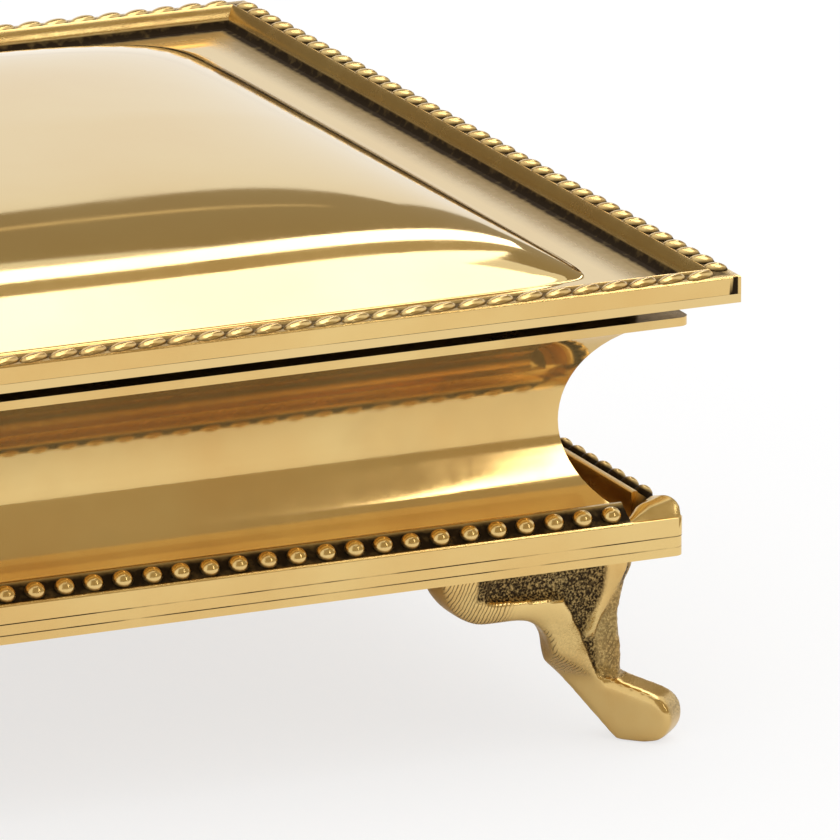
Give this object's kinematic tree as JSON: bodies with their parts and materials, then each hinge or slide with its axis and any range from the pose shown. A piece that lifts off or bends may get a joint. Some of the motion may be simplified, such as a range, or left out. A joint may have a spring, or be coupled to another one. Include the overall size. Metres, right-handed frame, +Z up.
{
  "type": "footed brass box",
  "caption": "Low rectangular brass box with coved sides, beaded rim and base, four cast hoof feet and a cushion-shaped lid hinged at the back, for papers and keepsakes.",
  "frame": {"origin": "middle of the footprint, on the surface that the feet stand on", "axes": "+X to the right along the front, +Y to the back where the hinges are, +Z up"},
  "size_m": [0.19, 0.123, 0.0562],
  "materials": {
    "polished_sheet": "polished, worn",
    "beaded_strip": "polished high points, dark patina in the hollows",
    "cast_feet": "cast, filed and polished on the borders, dark patina in the sunk panels",
    "hidden_fittings": "plain, unpolished"
  },
  "bodies": {
    "body": {"top_frame": "polished_sheet", "base_plate": "polished_sheet", "sole_plate": "polished_sheet", "front_wall": "polished_sheet", "back_wall": "polished_sheet", "left_wall": "polished_sheet", "right_wall": "polished_sheet", "base_moulding_front": "beaded_strip", "base_moulding_back": "beaded_strip", "base_moulding_left": "beaded_strip", "base_moulding_right": "beaded_strip", "base_corner_front_left": "beaded_strip", "base_corner_front_right": "beaded_strip", "base_corner_back_left": "beaded_strip", "base_corner_back_right": "beaded_strip", "foot_front_left": "cast_feet", "foot_front_right": "cast_feet", "foot_back_left": "cast_feet", "foot_back_right": "cast_feet", "seat_bar_front": "hidden_fittings", "seat_bar_left": "hidden_fittings", "seat_bar_right": "hidden_fittings", "hinge_body_leaf_left": "hidden_fittings", "hinge_body_leaf_right": "hidden_fittings", "hinge_pin_left": "hidden_fittings", "hinge_pin_right": "hidden_fittings"},
    "lid": {"lid_panel": "polished_sheet", "lid_rim_front": "beaded_strip", "lid_rim_back": "beaded_strip", "lid_rim_left": "beaded_strip", "lid_rim_right": "beaded_strip", "hinge_lid_leaf_left": "hidden_fittings", "hinge_lid_leaf_right": "hidden_fittings"}
  },
  "joints": [
    {"name": "lid_hinge", "type": "hinge", "parent": "body", "child": "lid", "pos_m": [0, 0.05695, 0.0455], "axis": [-1, 0, 0], "range_deg": [0, 100]}
  ]
}
